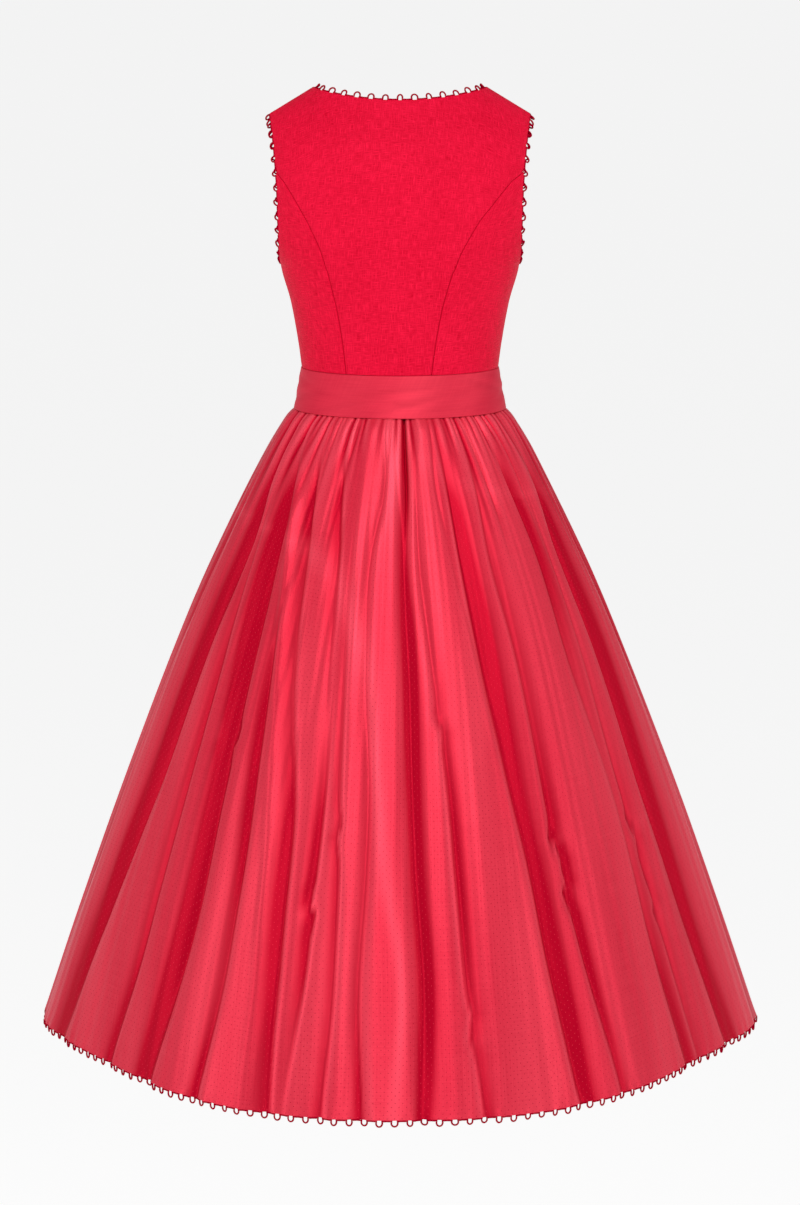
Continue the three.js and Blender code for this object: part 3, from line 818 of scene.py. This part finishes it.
@dataclass(frozen=True)
class Fold:
    """A long fold: its place in degrees and its height at the skirt's fold drops, and its flank's width.

    It is a creased valley or a rounded ridge. A kink is a short jog of the crease, given by its drop and by
    how many degrees the crease jumps there.
    """

    at: Table
    size: Table
    width: float
    is_ridge: bool = False
    kinks: tuple[Pair, ...] = ()


@dataclass(frozen=True)
class Gathers:
    """The short creases under the band, uneven in place, depth and length."""

    count: int
    seed: int
    flats: tuple[Pair, ...]
    depth: Pair = (2.4, 7.0)
    reach: Pair = (24, 115)
    width: Pair = (1.5, 3.0)


BACK_FOLDS = (
    Fold((-83, -81, -81, -83, -85, -87, -87), (3, 4, 6, 5, 4, 5, 5), 10),
    Fold((-68, -67, -63, -66, -69, -73, -76), (5, 9, 12, 13, 14, 14, 11), 16),
    Fold((-64, -61, -59, -57, -56, -57, -59), (0, 0, 4, 6, 7, 8, 8), 9),
    Fold((-58, -52, -48, -45, -44, -44, -46), (7, 10, 13, 14, 14, 15, 14), 16, kinks=((385, -1.4),)),
    Fold((-45, -40, -34, -30, -24, -22, -21), (6, 8, 7, 7, 8, 9, 9), 11),
    Fold((-43, -41, -39, -37, -34, -33, -34), (0, 0, 2, 7, 8, 8, 9), 9),
    Fold((-31, -27, -22, -19, -18, -18, -18), (8, 10, 8, 3, 0, 0, 0), 10),
    Fold((-19, -19, -19, -18, -17, -17, -19), (0, 0, 0, 1, 9, 7, 2), 8, kinks=((560, 1.4),)),
    Fold((-21, -18, -17, -15, -13, -12, -12), (2, 1, 3, 6, 6, 7, 8), 7, kinks=((470, -1.3),)),
    Fold((-9, -7, -10, -9, -7, -7, -6), (7, 6, 5, 4, 5, 7, 8), 7),
    Fold((-3, -1, 1, 2, 3, 4, 3), (5, 5, 7, 10, 12, 11, 9), 13),
    Fold((3, 3, 2, 2, 2, 2, 2), (13, 10, 2, 0, 0, 0, 0), 4),
    Fold((7, 7, 7, 9, 11, 12, 13), (1, 2, 5, 6, 7, 8, 8), 8, kinks=((350, 1.3), (690, -1.3))),
    Fold((18, 16, 18, 22, 26, 30, 32), (3, 3, 2, 2, 1, 0, 0), 5),
    Fold((22, 22, 22, 24, 26, 28, 30), (8, 10, 10, 11, 11, 11, 11), 13),
    Fold((36, 35, 33, 34, 34, 36, 38), (5, 5, 5, 7, 8, 9, 9), 8, kinks=((500, 2.3), (548, -1.8))),
    Fold((41, 41, 40, 40, 40, 40, 40), (6, 6, 1, 0, 0, 0, 0), 5),
    Fold((52, 52, 54, 53, 55, 56, 58), (8, 12, 9, 5, 4, 7, 8), 12),
    Fold((59, 59, 59, 59, 59, 59, 59), (4, 5, 1, 0, 0, 0, 0), 4),
    Fold((61, 61, 60, 59, 59, 60, 62), (1, 2, 3, 4, 5, 6, 6), 8, kinks=((505, 2.0), (600, -1.3))),
    Fold((71, 71, 67, 68, 68, 70, 72), (8, 10, 13, 13, 12, 12, 11), 15),
    Fold((82, 83, 82, 84, 85, 85, 85), (4, 5, 6, 6, 5, 5, 5), 9),
    Fold((-54, -48, -41, -34, -29, -26, -25), (3, 5, 6, 6, 5, 4, 3), 9, is_ridge=True),
    Fold((-17, -16, -15, -13, -12, -11, -10), (2, 3, 3, 3, 2, 2, 2), 14, is_ridge=True),
)

FRONT_FOLDS = (
    Fold((92, 93, 93, 94, 94, 94, 94), (4, 6, 7, 7, 6, 6, 5), 9),
    Fold((104, 105, 106, 107, 107, 108, 108), (7, 9, 10, 11, 11, 10, 9), 13),
    Fold((115, 117, 119, 121, 122, 122, 121), (5, 6, 7, 7, 8, 8, 8), 9, kinks=((520, 2.0),)),
    Fold((128, 129, 130, 132, 134, 136, 137), (8, 11, 12, 13, 13, 12, 11), 15),
    Fold((140, 142, 144, 146, 147, 148, 148), (5, 5, 5, 6, 6, 7, 7), 8),
    Fold((152, 153, 154, 156, 158, 160, 161), (8, 9, 9, 9, 10, 10, 9), 11),
    Fold((165, 166, 168, 170, 171, 172, 173), (6, 7, 6, 6, 7, 8, 8), 9, kinks=((360, 1.8), (600, -1.6))),
    Fold((178, 178, 180, 182, 184, 184, 184), (5, 6, 6, 7, 7, 7, 6), 8),
    Fold((189, 190, 192, 194, 195, 196, 197), (9, 11, 12, 12, 13, 13, 12), 14),
    Fold((202, 203, 204, 206, 207, 207, 206), (5, 6, 6, 6, 7, 7, 7), 9),
    Fold((213, 214, 215, 217, 219, 221, 222), (7, 9, 9, 10, 10, 10, 9), 12),
    Fold((227, 228, 230, 232, 233, 233, 232), (5, 6, 7, 7, 7, 7, 7), 8, kinks=((460, -1.9), (505, 1.5))),
    Fold((239, 240, 241, 243, 245, 246, 247), (8, 10, 11, 12, 12, 12, 11), 14),
    Fold((252, 253, 254, 257, 258, 259, 259), (5, 6, 7, 7, 7, 6, 6), 9),
)


@dataclass
class SkirtHalf:
    """Half of the gathered skirt, from one side seam to the other."""

    name: str
    start: float
    folds: tuple[Fold, ...]
    gathers: Gathers
    columns: int = 478
    band_bottom: float = -384
    length: float = 792
    thickness: float = 0.8
    fold_drops: Table = (20, 75, 160, 290, 450, 630, 792)
    drops: Table = (0.3, 14, 52, 120, 250, 450, 640, 792)
    half_widths: Table = (133.2, 144, 166.5, 200.5, 261, 339, 407.5, 458.5)
    rounds: Table = (0.79, 0.81, 0.85, 0.9, 0.93, 0.95, 0.97, 0.985)
    flats: Table = (0, 0, 0, 0.012, 0.028, 0.048, 0.066, 0.078)
    flat_lean: float = 1.6
    puckers: float = 0.7
    kink_length: float = 15
    spread_drop: float = 230
    deepen_drop: float = 130
    sway_length: float = 74
    hem_length: float = 190
    cut_widths: Pair = (0.98, 1.42)
    cut_area: float = 1.03

    def base_radius(self, angle: Array, drop: Array) -> Array:
        """Radius of the smooth skirt: an ellipse, pressed in between the centres and the sides.

        The pressing is flat times the squared sine of half a turn times the share of the way from the centre
        to the side, raised to flat_lean, which moves it nearer the sides.
        """
        half = smooth_through(self.drops, self.half_widths, drop)
        deep = half * smooth_through(self.drops, self.rounds, drop)
        flat = smooth_through(self.drops, self.flats, drop)
        share = np.arcsin(np.abs(np.sin(angle))) / (np.pi / 2)
        press = flat * np.sin(np.pi * share ** self.flat_lean) ** 2
        return (1 - press) / np.hypot(np.sin(angle) / half, np.cos(angle) / deep)

    def fold_height(self, degrees: Array, drop: Array, radius: Array) -> tuple[Array, Array]:
        """Height of the long folds.

        A valley sinks by its size times a fall-off that starts steep at the crease and dies away over the
        flank's width, like a cord that hangs between two ridges. It is steeper on the side of the skirt's
        centre line and sways on its way down in slow waves. It reaches its full width at spread_drop and
        its full depth at deepen_drop, and gets shallow over the last hem_length. A ridge is a bell curve.
        A valley's painted shade is a bell curve with a sharp steep side, and counts more than in proportion
        to its size. Beyond the steep side a painted highlight lies on the fold's ridge, counted below 0.

        Args:
            degrees: places round the skirt.
            drop: drops below the band.
            radius: radius of the smooth skirt.

        Returns:
            The height, and the painted shade at each place, below 0 for a painted highlight.
        """
        height, painted_shade = np.zeros_like(radius), np.zeros_like(radius)
        narrow = 0.4 + 0.6 * np.minimum(drop / self.spread_drop, 1)
        wave = drop / self.sway_length
        for number, fold in enumerate(self.folds):
            sway = 0.3 * np.sin(wave + 2.3 * number) + 0.06 * np.sin(drop / 27 + 4.1 * number)
            place = smooth_through(self.fold_drops, fold.at, drop) + sway * ease(drop / 200)
            for kink_drop, jump in fold.kinks:
                step = (drop - kink_drop) / self.kink_length
                place = place + jump * step * np.exp(-step ** 2)
            away = np.radians(degrees - place) * radius
            size = np.maximum(smooth_through(self.fold_drops, fold.size, drop), 0)
            size = size * (1 + 0.16 * np.sin(wave + 1.7 * number))
            size = size * (0.25 + 0.75 * ease(drop / self.deepen_drop) if fold.width > 5 else 1)
            width = fold.width * narrow
            if fold.is_ridge:
                height += size * np.exp(-(away / width) ** 2)
                continue
            steep = np.tanh((self.start + 90 - place) / 10)
            width = width * (1 - 0.42 * steep * np.tanh(away / 2))
            soft = 0.14 * width
            sunk = size * (1 - 0.45 * ease((drop - self.length + self.hem_length) / self.hem_length))
            height -= sunk * np.exp(-(np.sqrt(away ** 2 + soft ** 2) - soft) / width)
            reach = 0.75 * width * (1 - 0.5 * steep * np.tanh(away / 2)) + 0.6
            # Painted shade in the valley, kept at full strength over the hem where the fold itself gets
            # shallow.
            painted_shade += (size / 8) ** 1.6 * np.exp(-(np.abs(away) / reach) ** 2.6)
            # Painted highlight on the ridge beyond the steep side.
            painted_shade -= 0.055 * size * np.exp(-((steep * away - reach - 3.2) / 3) ** 2)
        return height + 4.2 * ease(drop / 150), painted_shade

    def gather_height(self, degrees: Array, drop: Array, radius: Array) -> tuple[Array, Array]:
        """Height and painted shade of the gathers: short creases whose depth dies away at each one's own
        reach.

        The cloth puffs out just under the band. Painted shade lies in each crease and a painted highlight on
        a gather's two crests, counted below 0.
        """
        g = self.gathers
        rng = np.random.default_rng(g.seed)
        step = 1 + 0.55 * rng.uniform(-1, 1, g.count + 1)
        place = self.start + 180 * np.cumsum(step)[:-1] / step.sum()
        for low, high in g.flats:
            place = np.where((place > low) & (place < high), low + (place - low) * 0.35, place)
        deep = between(g.depth, rng.random(g.count))
        reach = between(g.reach, rng.random(g.count) ** 1.5)
        wide = between(g.width, rng.random(g.count))
        drift = rng.uniform(-2.2, 2.2, g.count)
        height, painted_shade = np.zeros_like(radius), np.zeros_like(radius)
        puff = 0.55 + 0.45 * ease(drop / 12)
        for at, size, long, width, lean in zip(place, deep, reach, wide, drift):
            away = np.radians(degrees - at - lean * drop / 100) * radius
            spread = width * (1 + drop / 60)
            fade = np.exp(-(drop / long) ** 1.7)
            height -= puff * size * fade * np.exp(-(np.sqrt(away ** 2 + 0.36) - 0.6) / spread)
            # Painted shade in the crease.
            painted_shade += (size / 3.7) ** 1.5 * fade * np.exp(-(away / (0.7 * spread)) ** 2)
            # Painted highlight on the crease's two crests.
            painted_shade -= 0.13 * size * fade * np.exp(-((np.abs(away) - 1.9 * spread) / spread) ** 2)
        return height + 3.4 * np.exp(-(drop / 70) ** 1.5) * puff - 1.6 * np.exp(-drop / 2.5), painted_shade

    def fine_height(self, degrees: Array, drop: Array, radius: Array) -> Array:
        """Slack in the cloth and small puckers on the hem: sums of slow waves of set lengths."""
        rng = np.random.default_rng(self.gathers.seed + 7)
        angle = np.radians(degrees)
        height = np.zeros_like(radius)
        for waves, tall in ((38, 260), (61, 190), (97, 330), (141, 150)):
            shift, lean = rng.uniform(0, 2 * np.pi, 2)
            height += 0.16 * np.sin(waves * angle + shift + 2 * np.sin(drop / tall + lean))
        up = self.length - drop
        pucker = np.sin(151 * angle + 2.2 * np.sin(17 * angle + 1)) * (0.6 + 0.4 * np.sin(29 * angle))
        return height * ease(drop / 120) + self.puckers * pucker * np.exp(-(up / 9) ** 1.5)

    def rows(self) -> Array:
        """Drops of the rows, from the hem up: close at the hem, closer and closer towards the band."""
        hem = self.length - np.array([0, 0.06, 0.2, 0.42, 1.2, 3, 5.5, 9, 14, 21])
        t = np.linspace(0, 1, 74)
        body = 2.2 + (self.length - 30 - 2.2) * (0.34 * t + 0.66 * t ** 1.6)
        top = np.array([1.2, 0.72, 0.5, 0.36, 0.3])
        return np.concatenate([hem, body[::-1], top])

    def surface(self) -> tuple[Array, Array, Array]:
        """Outer face, the drop of each row and the painted shade at each point, below 0 for a painted
        highlight.
        """
        drop = self.rows()[:, None]
        lines = with_fine_ends(self.columns, 180, (0.012, 0.04, 0.1, 0.25))
        degrees = self.start + np.clip(180 * lines, 0.006, 179.994)[None, :]
        radius = self.base_radius(np.radians(degrees), drop)
        from_seam = np.minimum(degrees - self.start, self.start + 180 - degrees)
        held = ease(np.radians(from_seam) * radius / 16)
        folds, fold_painted_shade = self.fold_height(degrees, drop, radius)
        gathers, gather_painted_shade = self.gather_height(degrees, drop, radius)
        radius = radius + held * (folds + gathers + self.fine_height(degrees, drop, radius))
        # Painted shade of folds and gathers together.
        painted_shade = np.clip(fold_painted_shade + gather_painted_shade, -1, 1)
        angle = np.radians(degrees)
        z = self.band_bottom - drop + 0 * angle
        return np.stack([radius * np.sin(angle), -radius * np.cos(angle), z], axis=-1), drop, painted_shade

    def build(self, material: Material) -> Object:
        """Build the half skirt with cloth coordinates of its flat cut."""
        face, drop, painted_shade = self.surface()
        across, up = run_lengths(face, 1), run_lengths(face, 0)
        share = across / across[:, -1:] - 0.5
        low, high = self.cut_widths
        wide = low + (high - low) * drop / self.length
        uv = np.stack([share * wide, up * MM], axis=-1)
        piece = Piece(f"{self.name}_cloth", (self.name,), Slot.TAFFETA, material)
        made = ClothWall(face, self.thickness, uv, painted_shade).make(piece)
        return made


# ---- Picot edging ----


@dataclass(frozen=True)
class EdgeLine:
    """An edge of the garment: its points, the way off the cloth and the way out of its face."""

    points: Array
    off: Array
    normals: Array
    closed: bool


@dataclass
class PicotEdging:
    """One cord along each edge that swings out in small open loops."""

    radius: float = 1.1
    pitch: float = 18.4
    loop_width: float = 3.6
    loop_height: float = 6.5
    foot: float = 56.0
    stand_off: float = 0.75
    rise: float = 0.25
    reach: float = 0.6
    sides: int = 6
    loop_steps: int = 11

    def edge(self, points: Array, normals: Array, centre: Array, closed: bool) -> EdgeLine:
        """Edge with its off-cloth way: square to the edge and the face, on the centre's side."""
        off = unit(np.cross(tangents(points, closed), normals))
        toward = np.sum(off * (centre - points), axis=1, keepdims=True)
        return EdgeLine(points, off * np.where(toward < 0, -1, 1), normals, closed)

    def route(self, edge: EdgeLine, seed: int) -> tuple[Array, Array]:
        """Route of the cord.

        Within each pitch the cord runs along the edge, goes round the part of an ellipse that stands above
        its two feet, and runs on. Between two loops it stands off by rise, from reach past the quarters of
        the pitch. Each loop has its own small change of width, height and turn.

        Args:
            edge: the edge it follows.
            seed: number that fixes the loops' small changes.

        Returns:
            The route's points and the face normals there.
        """
        ring, off, normals = (closed_up(part, edge.closed) for part in (edge.points, edge.off, edge.normals))
        lengths = run_lengths(ring, 0)
        loops = int(round(lengths[-1] / self.pitch))
        pitch = lengths[-1] / loops
        rng = np.random.default_rng(seed)
        wide = self.loop_width * (1 + 0.12 * rng.uniform(-1, 1, (loops, 1)))
        tall = self.loop_height * (1 + 0.1 * rng.uniform(-1, 1, (loops, 1)))
        turn = 0.3 * rng.uniform(-1, 1, (loops, 1))
        around = np.radians(np.linspace(self.foot, 360 - self.foot, self.loop_steps))[None, :]
        foot = np.cos(np.radians(self.foot))
        swing = -wide * np.sin(around)
        one = np.ones((loops, 1))
        quarter = one * (pitch / 4 + self.reach)
        along = np.hstack([-one * pitch / 2, -quarter, swing * np.cos(turn), quarter])
        arch = tall * (foot - np.cos(around)) / (1 + foot)
        out = np.hstack([0 * one, one * self.rise, arch, one * self.rise])
        side = np.hstack([0 * one, 0 * one, swing * np.sin(turn), 0 * one])
        at = ((np.arange(loops)[:, None] + 0.5) * pitch + along).ravel()
        at = at % lengths[-1] if edge.closed else np.clip(at, 0, lengths[-1])
        out, side = out.ravel()[:, None], side.ravel()[:, None]

        def read(values: Array) -> Array:
            """Values at the route's places along the edge."""
            return np.stack([np.interp(at, lengths, values[:, k]) for k in range(3)], axis=1)

        ways, faces = unit(read(off)), unit(read(normals))
        return read(ring) + ways * (self.stand_off + out) + faces * side, faces

    def build_on(self, edge: EdgeLine, node: str, seed: int, material: Material) -> Object:
        """Build the edging of one edge."""
        route, faces = self.route(edge, seed)
        piece = Piece(f"{node}_cord", (node,), Slot.EDGING, material)
        return Cord(route, faces, self.radius, self.sides, edge.closed).make(piece)

    def on_bodice(self, bodice: Bodice, runs: Sequence[tuple[Face, Array, Array]]) -> tuple[Array, Array]:
        """Middle of the bodice's cloth and the normals there, along runs of a face, shares and rows."""
        faces = np.concatenate([bodice.form.point(*run) for run in runs])
        normals = np.concatenate([bodice.form.normal(*run) for run in runs])
        return faces - normals * bodice.thickness / 2, normals

    def armhole(self, bodice: Bodice, side: int) -> EdgeLine:
        """Edge round an armhole, up the back and down the front."""
        form = bodice.form
        rows = np.linspace(0, 1, 90)
        lines = (Face.BACK, rows[:-1]), (Face.FRONT, rows[::-1][:-1])
        runs = [(face, np.full_like(line, side), line) for face, line in lines]
        points, normals = self.on_bodice(bodice, runs)
        centre = np.array([side * form.shoulder_half_width, 0, (form.underarm + form.shoulder_tip) / 2])
        return self.edge(points, normals, centre, True)

    def neck(self, bodice: Bodice) -> EdgeLine:
        """Edge round the neck, from the left of the centre front over the back to the right."""
        form = bodice.form
        side = np.linspace(0.002, form.neck_share, 90)
        across = np.linspace(-form.neck_share, form.neck_share, 120)[1:-1]
        lines = (Face.FRONT, -side), (Face.BACK, across), (Face.FRONT, side[::-1])
        points, normals = self.on_bodice(bodice, [(face, line, np.ones_like(line)) for face, line in lines])
        centre = np.array([0, form.neck_half_width / 5, 3 * form.neck_point])
        return self.edge(points, normals, centre, False)

    def hem(self, halves: Sequence[SkirtHalf]) -> EdgeLine:
        """Edge round the hem, from the left side seam over the back and the front."""
        lines = [half.surface()[0][0][:-1:2] for half in halves]
        points = np.concatenate(lines)
        chord = np.roll(points, -1, 0) - np.roll(points, 1, 0)
        normals = unit(np.cross(chord, np.array([0.0, 0.0, 1.0])))
        centre = np.array([0, 0, 10 * (halves[0].band_bottom - halves[0].length)])
        return self.edge(points - normals * halves[0].thickness / 2, normals, centre, True)


# ---- Studio ----


@dataclass(frozen=True)
class Studio:
    """Pale floor, soft lights and the camera."""

    distance: float = 5.10
    eye_height: float = 0.3287
    pitch: float = 10.70
    lens: float = 121.74
    sensor: float = 36.0
    clip_end: float = 900.0
    floor_z: float = -3.0
    floor_half: float = 300.0
    world: float = 0.34
    middle_z: float = -0.7
    key_power: float = 128.0
    key_size: Pair = (2.6, 3.2)
    key_elevation: float = 40.0
    key_distance: float = 4.3
    side_power: float = 25.0
    side_size: Pair = (1.2, 2.6)
    side_turn: float = 68.0
    side_rise: float = 0.15
    side_distance: float = 3.6

    def floor(self) -> None:
        """Lay the floor well below the hem."""
        s = self.floor_half
        mesh = bpy.data.meshes.new("floor")
        corner_points = [(x, y, self.floor_z) for x, y in ((-s, -s), (s, -s), (s, s), (-s, s))]
        mesh.from_pydata(corner_points, [], [(0, 1, 2, 3)])
        mesh.materials.append(FloorFinish().material())
        made = add_object("floor", mesh)

    def light(self, name: str, power: float, size: Pair, way: Vector) -> None:
        """Add a rectangular lamp at a way from the garment's middle, shining back at it."""
        lamp = bpy.data.lights.new(name, "AREA")
        lamp.energy, lamp.shape = power, "RECTANGLE"
        lamp.size, lamp.size_y = size
        made = add_object(name, lamp)
        target = Vector((0, 0, self.middle_z))
        made.location = target + way
        made.rotation_euler = (target - made.location).to_track_quat("-Z", "Y").to_euler()

    def build(self) -> None:
        """Set the floor, the lights, the world and the camera."""
        self.floor()
        rise = np.radians(self.key_elevation)
        toward = Vector((0, -np.cos(rise), np.sin(rise)))
        self.light("key", self.key_power, self.key_size, toward * self.key_distance)
        for name, side in (("side_left", -1), ("side_right", 1)):
            turn = side * np.radians(self.side_turn)
            toward = Vector((np.sin(turn), -np.cos(turn), self.side_rise))
            self.light(name, self.side_power, self.side_size, toward * self.side_distance)
        world = bpy.data.worlds.new("studio_world")
        world.use_nodes = True
        background = world.node_tree.nodes["Background"]
        background.inputs[0].default_value = (1, 1, 1, 1)
        background.inputs[1].default_value = self.world
        scene = bpy.context.scene
        scene.world = world
        scene.view_settings.view_transform = "Standard"
        camera = bpy.data.cameras.new("camera")
        camera.lens, camera.sensor_width, camera.clip_end = self.lens, self.sensor, self.clip_end
        made = add_object("camera", camera)
        made.location = (0, -self.distance, self.eye_height)
        made.rotation_euler = (np.radians(90 - self.pitch), 0, 0)
        scene.camera = made


def main() -> None:
    """Build the garment piece by piece, then the studio."""
    logging.basicConfig(level=logging.INFO, format="%(name)s: %(message)s")
    linen, cord = LinenFinish().material(), CordFinish().material()
    taffeta = TaffetaFinish().material()
    band_cloth = TaffetaFinish(name="band_taffeta_red", dots=False, roughness=0.5,
                               ground=(0.48, 0.009, 0.032, 1), streak=(0.68, 0.036, 0.066, 1)).material()
    bodice, edging = Bodice(), PicotEdging()
    bodice.build(linen)
    Waistband().build(band_cloth)
    halves = [
        SkirtHalf("skirt_back", -90, BACK_FOLDS, Gathers(45, 11, ((-27, -15), (6, 17)))),
        SkirtHalf("skirt_front", 90, FRONT_FOLDS, Gathers(45, 23, ((134, 144), (196, 206)))),
    ]
    for half in halves:
        half.build(taffeta)
    edging.build_on(edging.neck(bodice), "edging_neck", 3, cord)
    edging.build_on(edging.armhole(bodice, -1), "edging_armhole_left", 5, cord)
    edging.build_on(edging.armhole(bodice, 1), "edging_armhole_right", 6, cord)
    edging.build_on(edging.hem(halves), "edging_hem", 8, cord)
    Studio().build()


if __name__ == "__main__":
    main()
